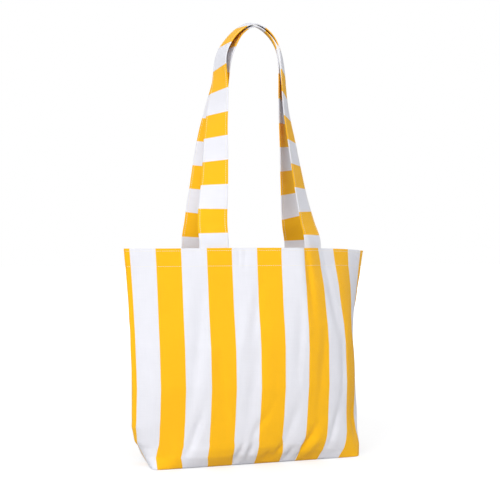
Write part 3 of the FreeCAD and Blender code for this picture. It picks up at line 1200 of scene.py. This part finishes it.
@dataclass
class Stitching:
    """Rows of separate stitches that make up one piece.

    Attributes:
        frames: Half length, half width, half height and middle of each stitch, in millimetres.
    """

    # Distance between the copies before they are laid.
    SPREAD = 4.0
    # Height of a stitch as a share of its width, and the faces around and along it.
    FLATNESS = 0.84
    SIDES, RINGS = 6, 5
    # How far on each side of a stitch's middle its direction is read.
    CHORD = 0.4

    frames: list[np.ndarray] = field(default_factory=list)

    def add_row(self, points: np.ndarray, outward: np.ndarray, stitch: float = 2.7,
                gap: float = 0.7, thread: float = 0.52) -> None:
        """Lay stitches along a path.

        Args:
            points: Points of the path.
            outward: Direction away from the cloth at each point.
            stitch: Length of one stitch.
            gap: Gap between stitches.
            thread: Thickness of the thread.
        """
        length = lengths_along(points)
        count = max(1, int(length[-1] // (stitch + gap)))
        starts = (np.arange(count) + 0.5) * length[-1] / count
        middle = value_at(starts, length, points)
        run = unit(value_at(starts + self.CHORD, length, points)
                   - value_at(starts - self.CHORD, length, points))
        aside = unit(np.cross(value_at(starts, length, outward), run))
        away = np.cross(run, aside) * self.FLATNESS
        self.frames.append(np.stack([run * stitch / 2, aside * thread / 2,
                                     away * thread / 2, middle], axis=1))

    def build(self, name: str, material: bpy.types.Material) -> Piece:
        """Make the piece: one small rounded stitch, copied and laid at every frame.

        The copies start side by side, so that each vertex's place tells its stitch.

        Args:
            name: Name of the piece.
            material: Material of the thread.

        Returns:
            The piece.
        """
        frames = np.concatenate(self.frames) * MM
        mesh, batch = bmesh.new(), bpy.data.meshes.new("batch_of_stitches")
        self.add_stitch(mesh, 0)
        copies = 1
        for spare in f"{len(frames):b}"[1:]:
            mesh.to_mesh(batch)
            batch.transform(Matrix.Translation((copies * self.SPREAD, 0.0, 0.0)))
            mesh.from_mesh(batch)
            copies *= 2
            if spare == "1":
                self.add_stitch(mesh, copies)
                copies += 1
        bpy.data.meshes.remove(batch)
        piece = finished(name, mesh, material)
        places = np.empty(3 * len(piece.data.vertices))
        piece.data.vertices.foreach_get("co", places)
        places = places.reshape(-1, 3)
        stitch = np.rint(places[:, 0] / self.SPREAD).astype(int)
        places[:, 0] -= stitch * self.SPREAD
        laid = np.einsum("vk,vkj->vj", places, frames[stitch, :3]) + frames[stitch, 3]
        piece.data.vertices.foreach_set("co", laid.reshape(-1))
        piece.data.update()
        return piece

    def add_stitch(self, mesh: bmesh.types.BMesh, index: int) -> None:
        """Add one round stitch of radius 1 at its own place along X.

        Args:
            mesh: The bmesh that it is added to.
            index: Number of the stitch.
        """
        spot = Matrix.Translation((index * self.SPREAD, 0.0, 0.0))
        bmesh.ops.create_uvsphere(mesh, u_segments=self.SIDES, v_segments=self.RINGS, radius=1.0,
                                  matrix=spot @ Matrix.Rotation(math.pi / 2, 4, "Y"))


@dataclass
class HemStitching:
    """The two rows of stitching all round the rim, seen outside and inside.

    Attributes:
        form: Shape of the bag.
        thread: Material of the thread.
        from_seam: Distance that the rows keep from the side seams.
        samples: Points along one panel.
        float_height: How far the thread's middle stands off the cloth.
    """

    form: BagForm
    thread: bpy.types.Material
    from_seam: float = 1.5
    samples: int = 300
    float_height: float = 0.05

    def build(self) -> list[Piece]:
        """Make both rows as pieces.

        Returns:
            The upper row and the lower one.
        """
        cut = self.form.cut
        return [self.row("rim_edge_stitches", cut.edge_row, "rim_edge_stitching"),
                self.row("hem_stitches", cut.hem_row, "hem_stitching")]

    def row(self, name: str, drop: float, node: str) -> Piece:
        """Make one row as a piece.

        Args:
            name: Name of the piece.
            drop: Distance of the row below the rim.
            node: CAD node that the row stands for.

        Returns:
            The piece.
        """
        cut = self.form.cut
        stitching = Stitching()
        across = np.linspace(self.from_seam, cut.panel_width - self.from_seam, self.samples)
        faces = ((-self.float_height, 1.0), (2 * cut.fold_radius + self.float_height, -1.0))
        for side in Side:
            for inwards, way in faces:
                point, outward = self.form.at(side, across, cut.wall_height - drop, inwards)
                stitching.add_row(point, outward * way)
        return sewn_to_bag(stitching.build(name, self.thread), node)


# ---- handles --------------------------------------------------------------------------


@dataclass
class HandleLine:
    """Free course of a handle from left to right.

    Attributes:
        side: Panel that it is sewn to.
        stations: x, y, height above the rim and plan angle of the strap's inner edge.
        first_white: Strap above the rim to its first stripe edge, at the left end.
        shortfall: How much shorter the cloth is than its middle line, taken up at the top.
    """

    side: Side
    stations: tuple[Station, ...]
    first_white: float
    shortfall: float


FRONT_LINE = HandleLine(
    side=Side.FRONT,
    stations=(
        (-73, -37, 42, -18), (-68.5, -27.5, 92.4, -36), (-64, -18, 148.3, -47),
        (-60, -9, 204.7, -57), (-52.8, 2, 266.5, -73), (-47.5, 8.5, 310.5, -85),
        (-37.5, 11, 329.3, -90), (-20.5, 13.5, 348.6, -93), (6, 15, 361.4, -95),
        (33, 13.5, 348.2, -100), (46.5, 10.5, 326.8, -106), (51, 7, 302.3, -111),
        (53, 1, 256.2, -114), (55, -6.5, 215, -116), (62, -14.5, 163.6, -120),
        (68.5, -20.5, 117.7, -124), (76, -26.5, 72.2, -128), (83, -31, 37, -134)),
    first_white=23.5,
    shortfall=15.0)

BACK_LINE = HandleLine(
    side=Side.BACK,
    stations=(
        (-81, 32, 42, -14), (-75.5, 29.5, 92.4, -33), (-69.5, 27, 148.3, -46),
        (-60.5, 23, 204.7, -56), (-47.5, 19, 266.5, -68), (-39, 13.5, 308.5, -79),
        (-31, 14, 325.3, -85), (-18, 15.5, 344.4, -90), (6, 16, 357.7, -94),
        (31, 15.5, 344.4, -99), (42.5, 13, 324.2, -104), (46.5, 10.5, 300.3, -107),
        (49, 9.5, 256.2, -112), (52.5, 11.5, 215, -118), (58.5, 14, 163.6, -128),
        (64, 17, 117.7, -138), (70.5, 20, 72.2, -152), (77, 23.5, 37, -167)),
    first_white=19.0,
    shortfall=7.0)


@dataclass(frozen=True)
class TackBox:
    """Box of stitching that holds a sewn end.

    Attributes:
        half_width: Half its width.
        top: Its upper side below the rim.
        foot: Its lower side below the rim.
        stitch: Length of a stitch.
        gap: Gap between stitches.
        side_points: Points along one side of the box.
    """

    half_width: float = 18.0
    top: float = 5.5
    foot: float = 23.5
    stitch: float = 2.2
    gap: float = 0.5
    side_points: int = 24

    def path(self, middle: float, rim: float) -> np.ndarray:
        """Points around the box.

        Args:
            middle: Its middle from the left side seam.
            rim: Height of the rim.

        Returns:
            Distances from the left side seam and heights, as rows of 2.
        """
        left, right = middle - self.half_width, middle + self.half_width
        top, foot = rim - self.top, rim - self.foot
        corners = np.array([(left, top), (right, top), (right, foot), (left, foot), (left, top)])
        return np.concatenate([np.linspace(one, other, self.side_points)
                               for one, other in zip(corners, corners[1:])])


@dataclass
class Handle:
    """One folded strap, sewn in at both ends, with its rows of edge stitching.

    Attributes:
        line: Course of the strap.
        form: Shape of the bag.
        canvas: Material of the cloth.
        thread: Material of the stitching.
        tilt: Fall of the strap's inner edge at the top of the loop.
        free_rows: Cross-sections between the two places where it leaves the rim.
        sewn_rows: Cross-sections of one sewn end.
        clearance: Gap between the sewn ends and the hem.
        entry_depth: Depth below the rim that the course starts from.
        settle: Rise above the rim over which the strap leaves the wall's line.
        bend: Rise above the rim, from and to, over which it bends as it swings; not used.
        slack_start: Strap above the rim before the cloth's shortfall begins.
        wobble: How far the strap strays sideways.
        wobble_length: Length of strap over which that changes.
        wobble_fade: Strap above the rim, from and to, over which it begins.
        stitch_margin: Strap above the rim that its stitching leaves bare.
        tack: Box of stitching on each sewn end.
    """

    line: HandleLine
    form: BagForm
    canvas: bpy.types.Material
    thread: bpy.types.Material
    tilt: float = 0.296
    free_rows: int = 250
    sewn_rows: int = 10
    clearance: float = 0.15
    entry_depth: float = 9.0
    settle: float = 42.0
    bend: tuple[float, float] = (1.0, 48.0)
    slack_start: float = 280.0
    wobble: float = 0.5
    wobble_length: float = 45.0
    wobble_fade: tuple[float, float] = (5.0, 60.0)
    stitch_margin: float = 1.0
    tack: TackBox = TackBox()

    # Upper half of the section: offset towards the inner edge, and share of half the thickness.
    PROFILE = ((22.5, 0.0), (22.35, 0.5), (21.6, 0.86), (20.2, 0.92), (19.3, 0.8),
               (19.0, 0.74), (18.7, 0.8), (17.6, 0.94), (14.5, 1.0), (9.0, 1.03),
               (3.0, 1.05), (-3.0, 1.05), (-9.0, 1.03), (-14.5, 1.0), (-17.6, 0.94),
               (-18.7, 0.8), (-19.0, 0.74), (-19.3, 0.8), (-20.2, 0.92), (-21.6, 0.86),
               (-22.4, 0.55), (-22.3, 0.2), (-21.8, 0.0))
    # Offsets of the stitching's middle and of a point above it, from the strap's middle.
    STITCH_OFFSETS = (0.78, 1.2)

    def __post_init__(self) -> None:
        """Work out the strap's frames: middle, width direction and face direction."""
        cut = self.form.cut
        self.inside = 2 * cut.fold_radius + self.clearance + cut.strap_half
        stations = [(x, y, cut.wall_height + rise, angle)
                    for x, y, rise, angle in self.line.stations]
        frames = smooth_through(np.array([self.entry(End.LEFT), *stations,
                                          self.entry(End.RIGHT)]), CURVE_SAMPLES)
        free = frames[frames[:, 2] >= cut.wall_height]
        along = lengths_along(free[:, :3])
        self.length = along[-1]
        self.places = np.linspace(0.0, self.length, self.free_rows)
        self.middle, angle = np.split(value_at(self.places, along, free), [3], axis=1)
        angle = np.radians(angle)
        run = unit(np.gradient(self.middle, axis=0))
        edge = np.concatenate([np.cos(angle), np.sin(angle), np.full_like(angle, -self.tilt)],
                              axis=1)
        self.edge = unit(edge - run * np.sum(edge * run, axis=1, keepdims=True))
        self.face = np.cross(run, self.edge)

    @property
    def side_name(self) -> str:
        """Name of the panel that the strap is sewn to."""
        return self.line.side.value

    def entry(self, end: End) -> np.ndarray:
        """Where the strap's course starts or ends, just below the rim.

        Args:
            end: Which end.

        Returns:
            A station that lies inside the hem and along it.
        """
        cut, side = self.form.cut, self.line.side
        across = cut.strap_place(end)
        point, _ = self.form.at(side, across, cut.wall_height - self.entry_depth, self.inside)
        (here, ahead), _ = self.form.at(side, np.array([across, across - end.way]),
                                        cut.wall_height)
        angle = math.degrees(math.atan2(ahead[1] - here[1], ahead[0] - here[0]))
        return np.array([*point, angle - 360 if end is End.RIGHT and angle > 0 else angle])

    def laid(self, across: np.ndarray, proud: np.ndarray) -> tuple[np.ndarray, np.ndarray]:
        """Points of the whole strap for a line of cross-section offsets.

        Args:
            across: Offsets towards the strap's inner edge.
            proud: Offsets along its inner face.

        Returns:
            Rows by offsets by 3 points, and each row's distance from the left rim.
        """
        form, side = self.form, self.line.side
        depth = self.inside + (proud if side is Side.FRONT else -proud)
        lead = np.linspace(-form.cut.strap_tuck, 0.0, self.sewn_rows + 1)[:-1]
        places = np.concatenate([lead, self.places, self.length - lead[::-1]])
        free = (self.middle[:, None] + self.edge[:, None] * across[None, :, None]
                + self.face[:, None] * proud[None, :, None])
        free = np.pad(free, ((self.sewn_rows,) * 2, (0, 0), (0, 0)), mode="edge")
        rows = []
        for place, row in zip(places, free):
            end = End.LEFT if place < self.length - place else End.RIGHT
            rise = min(place, self.length - place)
            share = smoothstep(rise, 0.0, self.settle)
            if share < 1:
                sewn, _ = form.at(side, form.cut.strap_place(end) - end.way * across,
                                  form.cut.wall_height + rise, depth)
                row = sewn * (1 - share) + row * share
            rows.append(row)
        return np.array(rows), places

    def build(self) -> list[Piece]:
        """Make the strap, its stitching and both tacks."""
        return [self.strap(), self.edge_stitching(), *(self.tack_stitching(end) for end in End)]

    def strap(self) -> Piece:
        """Make the strap: a closed tube of folded cloth with stitched edges.

        Returns:
            The piece.
        """
        cut = self.form.cut
        top = np.array(self.PROFILE)
        ring = np.concatenate([top, (top * (1, -1))[-2:0:-1], top[:1]])
        points, places = self.laid(ring[:, 0], ring[:, 1] * cut.strap_half)
        stray = np.array([noise.noise(Vector((place / self.wobble_length, 3.0, 0.5)))
                          for place in places])
        for rise in (places, self.length - places):
            stray *= smoothstep(rise, *self.wobble_fade)
        points[..., 0] += (self.wobble * stray)[:, None]
        taken = self.line.shortfall * smoothstep(places, self.slack_start,
                                                 self.length - self.slack_start)
        start = cut.first_edge + cut.stripe - self.line.first_white
        cloth = np.zeros((*points.shape[:2], 2))
        cloth[..., 0] = (places - taken + start)[:, None]
        cloth[..., 1] = ring[None, :, 0]
        piece = finished(f"{self.side_name}_strap", closed_tube(points, cloth), self.canvas)
        self.join(piece)
        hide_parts(f"{self.side_name}_handle",
                    *(f"{self.side_name}_{end.value}_handle_end" for end in End))
        return piece

    def edge_stitching(self) -> Piece:
        """Make the rows of stitching near both edges, on both faces.

        Returns:
            The piece.
        """
        stitching = Stitching()
        offset = self.form.cut.strap_width / 2 - self.form.cut.strap_row
        for across in (-offset, offset):
            for way in (-1.0, 1.0):
                lines, places = self.laid(np.array([across, across]),
                                          np.array(self.STITCH_OFFSETS) * way)
                shown = np.minimum(places, self.length - places) > self.stitch_margin
                point = lines[shown, 0]
                stitching.add_row(point, unit(lines[shown, 1] - point))
        piece = stitching.build(f"{self.side_name}_strap_stitching", self.thread)
        self.join(piece)
        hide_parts(f"{self.side_name}_handle_stitching")
        return piece

    def join(self, piece: Piece) -> None:
        """Bake a piece's placement into its mesh.

        Args:
            piece: Strap, or stitching on it.
        """
        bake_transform(piece)

    def tack_stitching(self, end: End) -> Piece:
        """Make the box of stitching on the inside of one sewn end.

        Args:
            end: Which end.

        Returns:
            The piece.
        """
        cut, name = self.form.cut, f"{self.side_name}_{end.value}"
        across, height = self.tack.path(cut.strap_place(end), cut.wall_height).T
        point, outward = self.form.at(self.line.side, across, height,
                                      self.inside + cut.strap_half)
        stitching = Stitching()
        stitching.add_row(point, -outward, stitch=self.tack.stitch, gap=self.tack.gap)
        piece = stitching.build(f"{name}_tack_stitching", self.thread)
        return sewn_to_bag(piece, f"{name}_handle_tack")


# ---- seams inside the bag -------------------------------------------------------------


@dataclass
class SeamAllowance:
    """A strip of two raw edges, overlocked together, that stands inside the bag.

    Attributes:
        name: Name of the piece.
        node: CAD node that it stands for.
        root: Points of its sewn edge, in millimetres.
        reach: Direction from the sewn edge to the free edge, for all points or for each.
        stripe_place: Where on the cloth's stripes the strip is cut.
        width: Sewn edge to free edge.
        wave: How far the free edge waves to each side.
        wave_turn: Radians of that wave from one point to the next.
        wrap_step: Distance between neighbouring overlock stitches.
        wrap_margin: Strip left bare of them at each end.
        wrap_stitch: Length of one.
        wrap_thread: Thickness of their thread.
    """

    name: str
    node: str
    root: np.ndarray
    reach: np.ndarray
    stripe_place: float
    width: float = 9.0
    wave: float = 0.5
    wave_turn: float = 0.45
    wrap_step: float = 3.0
    wrap_margin: float = 2.0
    wrap_stitch: float = 5.6
    wrap_thread: float = 0.5

    # Section: offset from the sewn edge to the free edge, and offset along the face.
    PROFILE = ((0, -0.6), (0.3, -0.8), (4, -0.85), (8.4, -0.8), (9, -0.45),
               (9, 0.45), (8.4, 0.8), (4, 0.85), (0.3, 0.8), (0, 0.6), (0, -0.6))
    # Ends of an overlock stitch: from the sewn edge, off the face, share of the wave, slant.
    WRAP_START = (3.6, 0.95, 0.4, -1.0)
    WRAP_END = (9.2, 0.75, 1.0, 0.7)

    def __post_init__(self) -> None:
        """Work out the directions along and across the strip."""
        self.run = unit(np.gradient(self.root, axis=0))
        self.reach = unit(np.broadcast_to(self.reach, self.root.shape))
        self.face = unit(np.cross(self.run, self.reach))
        self.length = lengths_along(self.root)

    def build(self, canvas: bpy.types.Material, thread: bpy.types.Material) -> list[Piece]:
        """Make the strip and the thread that wraps its free edge.

        Args:
            canvas: Material of the strip.
            thread: Material of the thread.

        Returns:
            Both pieces.
        """
        strip = finished(self.name, self.strip(), canvas)
        binding = self.overlock().build(f"{self.name}_overlock", thread)
        return [sewn_to_bag(strip, self.node),
                sewn_to_bag(binding)]

    def strip(self) -> bmesh.types.BMesh:
        """Make the mesh of the strip, a closed tube with a waving free edge.

        Returns:
            A new bmesh.
        """
        out, aside = (np.array(values)[None, :, None] for values in zip(*self.PROFILE))
        wave = self.wave * np.sin(np.arange(len(self.root)) * self.wave_turn)
        points = (self.root[:, None] + self.reach[:, None] * out
                  + self.face[:, None] * (aside + wave[:, None, None] * out / self.width))
        cloth = np.zeros((*points.shape[:2], 2))
        cloth[..., 0] = self.stripe_place + out[..., 0]
        cloth[..., 1] = self.length[:, None]
        return closed_tube(points, cloth)

    def overlock(self) -> Stitching:
        """Lay slanting stitches from both faces of the strip over its free edge.

        Returns:
            The stitches.
        """
        wraps = Stitching()
        point_step = self.length[-1] / len(self.root)
        places = np.arange(self.wrap_margin, self.length[-1] - self.wrap_margin, self.wrap_step)
        for way in (-1.0, 1.0):
            for place in places:
                spot = value_at(place, self.length, self.root)
                out = unit(value_at(place, self.length, self.reach))
                aside = unit(value_at(place, self.length, self.face))
                ahead = unit(np.cross(out, aside))
                wave = self.wave * math.sin(place * self.wave_turn / point_step)
                start, end = (spot + out * reach + aside * (way * off + wave * share)
                              + ahead * slant
                              for reach, off, share, slant in (self.WRAP_START, self.WRAP_END))
                wraps.add_row(np.linspace(start, end, 5), np.tile(aside * way, (5, 1)),
                              stitch=self.wrap_stitch, gap=0.2, thread=self.wrap_thread)
        return wraps


@dataclass
class InsideSeams:
    """All seam allowances inside the bag.

    Attributes:
        form: Shape of the bag.
        canvas: Material of the strips.
        thread: Material of the overlock thread.
        side_start: Height at which the side allowances begin.
        below_hem: Gap between them and the hem.
        side_gap: Distance from the side seam to the sewn edge of its strip.
        aim: Distance from the side seam at which both walls give the strip's direction.
        corner_gap: Distance from the end of the base to a corner seam.
        corner_half: Half the length of a corner seam.
        base_span: Shares of the base seam between which its strip runs.
        base_lift: Height of the base strip's sewn edge.
        corner_lift: Height of a corner strip's sewn edge.
        base_reach: Direction of the base strip's free edge.
        corner_reach: Direction of the left corner strip's free edge.
    """

    form: BagForm
    canvas: bpy.types.Material
    thread: bpy.types.Material
    side_start: float = 14.0
    below_hem: float = 3.0
    side_gap: float = 1.8
    aim: float = 4.0
    corner_gap: float = 2.0
    corner_half: float = 36.0
    base_span: tuple[float, float] = (0.05, 0.95)
    base_lift: float = 1.9
    corner_lift: float = 2.2
    base_reach: tuple[float, float, float] = (0.0, 0.97, 0.2)
    corner_reach: tuple[float, float, float] = (0.95, 0.0, 0.3)

    # Where on the stripes the strips are cut, and how many points each has.
    SIDE_STRIPE, BASE_STRIPE, CORNER_STRIPE = 430.0, 0.0, 60.0
    SIDE_POINTS, BASE_POINTS, CORNER_POINTS = 110, 90, 30

    def build(self) -> list[Piece]:
        """Make the side seams, the base seam and the two corner seams.

        Returns:
            Strips and their overlock thread.
        """
        strips = [*(self.side(end) for end in End), self.base(),
                  *(self.corner(end) for end in End)]
        return [piece for strip in strips for piece in strip.build(self.canvas, self.thread)]

    def side(self, end: End) -> SeamAllowance:
        """Allowance of one side seam.

        Args:
            end: Which seam.

        Returns:
            The strip, from above the base to below the hem.
        """
        cut = self.form.cut
        top = cut.wall_height - cut.hem - self.below_hem
        heights = np.linspace(self.side_start, top, self.SIDE_POINTS)
        place = 0.0 if end is End.LEFT else cut.panel_width
        seam, _ = self.form.at(Side.FRONT, place, heights)
        outwards = sum(self.form.at(side, place - end.way * self.aim, heights)[1]
                       for side in Side)
        reach = -unit(outwards)
        return SeamAllowance(f"{end.value}_side_allowance", f"{end.value}_side_seam",
                             seam + reach * self.side_gap, reach, self.SIDE_STRIPE)

    def base(self) -> SeamAllowance:
        """Allowance of the seam along the middle of the base, pressed towards the back.

        Returns:
            The strip.
        """
        left, right = self.form.walls[Side.FRONT][0][[0, -1]]
        share = np.linspace(*self.base_span, self.BASE_POINTS)[:, None]
        line = left * (1 - share) + right * share
        line[:, 2] = self.base_lift
        return SeamAllowance("base_allowance", "bottom_seam", line, np.array(self.base_reach),
                             self.BASE_STRIPE)

    def corner(self, end: End) -> SeamAllowance:
        """Allowance of one corner seam, pressed towards the middle of the base.

        Args:
            end: Which end of the base.

        Returns:
            The strip.
        """
        edge = self.form.walls[Side.FRONT][0][0 if end is End.LEFT else -1]
        y = np.linspace(-self.corner_half, self.corner_half, self.CORNER_POINTS)
        x = np.full_like(y, edge[0] - end.way * self.corner_gap)
        line = np.stack([x, y, np.full_like(y, self.corner_lift)], axis=1)
        reach = np.array(self.corner_reach) * (-end.way, 1, 1)
        return SeamAllowance(f"{end.value}_corner_allowance", f"{end.value}_corner_seam", line,
                             reach, self.CORNER_STRIPE)


# ---- studio ---------------------------------------------------------------------------


@dataclass(frozen=True)
class Lamp:
    """A square lamp that faces the bag.

    Attributes:
        name: Its name.
        place: Where it stands, in metres.
        width: Its width in metres.
        power: Its power in watts.
    """

    name: str
    place: tuple[float, float, float]
    width: float
    power: float

    def build(self, target: Vector) -> None:
        """Add the lamp to the scene.

        Args:
            target: Point that it faces.
        """
        data = bpy.data.lights.new(self.name, "AREA")
        data.size = self.width
        data.energy = self.power
        lamp = bpy.data.objects.new(self.name, data)
        lamp.location = self.place
        lamp.rotation_euler = (target - Vector(self.place)).to_track_quat("-Z", "Y").to_euler()
        lamp.visible_camera = False
        bpy.context.scene.collection.objects.link(lamp)


@dataclass
class Studio:
    """Pale floor, soft lights and the camera, all in metres.

    Attributes:
        camera_place: Where the camera stands.
        camera_turn: Degrees that it is turned to the left; negative to the right.
        lens: Its focal length in millimetres.
        lamps: The lamps.
        target: Point that they face.
        floor_size: Width of the floor.
        floor_grey: How much light the floor throws back.
        glow: What it adds for the camera next to the bag and far from it.
        glow_reach: Distances from the bag between which that changes.
        surround: Strength of the even light from all around.
        surround_colour: Colour of that light.
    """

    camera_place: tuple[float, float, float] = (-0.3475, -1.2821, 0.3268)
    camera_turn: float = -15.0
    lens: float = 60.4
    lamps: tuple[Lamp, ...] = (
        Lamp("key", (-2.1, -2.0, 1.0), 1.4, 36.5), Lamp("fill", (1.0, -2.7, 0.8), 2.4, 16.0),
        Lamp("front", (-0.7, -2.9, 0.6), 2.0, 20.0), Lamp("top", (-0.4, 0.2, 2.6), 2.0, 4.0))
    target: tuple[float, float, float] = (0.0, 0.0, 0.3)
    floor_size: float = 30.0
    floor_grey: float = 0.42
    glow: tuple[float, float] = (0.64, 1.0)
    glow_reach: tuple[float, float] = (0.35, 1.6)
    surround: float = 0.77
    surround_colour: Colour = (0.97, 0.98, 1.0)

    def build(self) -> list[Piece]:
        """Make everything around the bag.

        Returns:
            The floor, in a list.
        """
        self.add_camera()
        floor = self.add_floor()
        self.add_world()
        for lamp in self.lamps:
            lamp.build(Vector(self.target))
        return [floor]

    def add_camera(self) -> None:
        """Make the camera, level and a little below the rim."""
        data = bpy.data.cameras.new("camera")
        data.lens = self.lens
        camera = bpy.data.objects.new("camera", data)
        camera.location = self.camera_place
        camera.rotation_euler = (math.pi / 2, 0.0, math.radians(self.camera_turn))
        bpy.context.scene.collection.objects.link(camera)
        bpy.context.scene.camera = camera

    def add_floor(self) -> Piece:
        """Make the floor, which looks white but keeps a faint shadow.

        Returns:
            The floor.
        """
        nodes = NodeTree("studio_floor")
        x, y, _ = nodes.object_axes()
        away = nodes.math("SQRT", nodes.math("ADD", nodes.math("MULTIPLY", x, x),
                                             nodes.math("MULTIPLY", y, y)))
        (near, far), (low, high) = self.glow_reach, self.glow
        spread = nodes.add("ShaderNodeMapRange", Value=away, From_Min=near, From_Max=far,
                           To_Min=low, To_Max=high)
        seen = nodes.add("ShaderNodeLightPath").outputs["Is Camera Ray"]
        glow = nodes.add("ShaderNodeEmission",
                         Strength=nodes.math("MULTIPLY", seen, spread.outputs[0]))
        surface = nodes.add("ShaderNodeBsdfDiffuse", Color=(self.floor_grey,) * 3)
        both = nodes.add("ShaderNodeAddShader")
        for socket, shader in zip(both.inputs, (surface, glow)):
            nodes.put(socket, shader.outputs[0])
        nodes.add("ShaderNodeOutputMaterial", Surface=both.outputs[0])
        mesh = bmesh.new()
        bmesh.ops.create_grid(mesh, x_segments=1, y_segments=1, size=self.floor_size / 2)
        floor = finished("studio_floor", mesh, nodes.material, smooth=False)
        return floor

    def add_world(self) -> None:
        """Make a soft even surround that the camera sees as white."""
        world = bpy.data.worlds.new("studio")
        world.use_nodes = True
        tree = world.node_tree
        tree.nodes.clear()
        mix = tree.nodes.new("ShaderNodeMixShader")
        path = tree.nodes.new("ShaderNodeLightPath")
        tree.links.new(path.outputs["Is Camera Ray"], mix.inputs[0])
        lights = ((self.surround, self.surround_colour), (1.0, (1.0, 1.0, 1.0)))
        for socket, (strength, colour) in zip(list(mix.inputs)[1:], lights):
            light = tree.nodes.new("ShaderNodeBackground")
            light.inputs["Strength"].default_value = strength
            light.inputs["Color"].default_value = (*colour, 1.0)
            tree.links.new(light.outputs[0], socket)
        output = tree.nodes.new("ShaderNodeOutputWorld")
        tree.links.new(mix.outputs[0], output.inputs["Surface"])
        bpy.context.scene.world = world
        bpy.context.scene.view_settings.view_transform = "Standard"


# ---- everything together --------------------------------------------------------------


def main() -> None:
    """Build the bag around the frame, then the studio."""
    logging.basicConfig(level=logging.INFO, format="%(message)s")
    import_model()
    cut = Cut(wall_height=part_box("front_panel")[1].z / MM)
    form = BagForm(cut, {Side.FRONT: FRONT_SHAPE, Side.BACK: BACK_SHAPE})
    canvas = StripedCanvas(cut=cut).build()
    thread = SewingThread().build()
    overlock = SewingThread("overlock_thread", (0.84, 0.84, 0.86)).build()
    parts = [*(Panel(side, form, canvas) for side in Side), HemStitching(form, thread),
             *(Handle(line, form, canvas, thread) for line in (FRONT_LINE, BACK_LINE)),
             InsideSeams(form, canvas, overlock), Studio()]
    for part in parts:
        for piece in part.build():
            log.info("%s: %d faces", piece.name, len(piece.data.polygons))


if __name__ == "__main__":
    main()
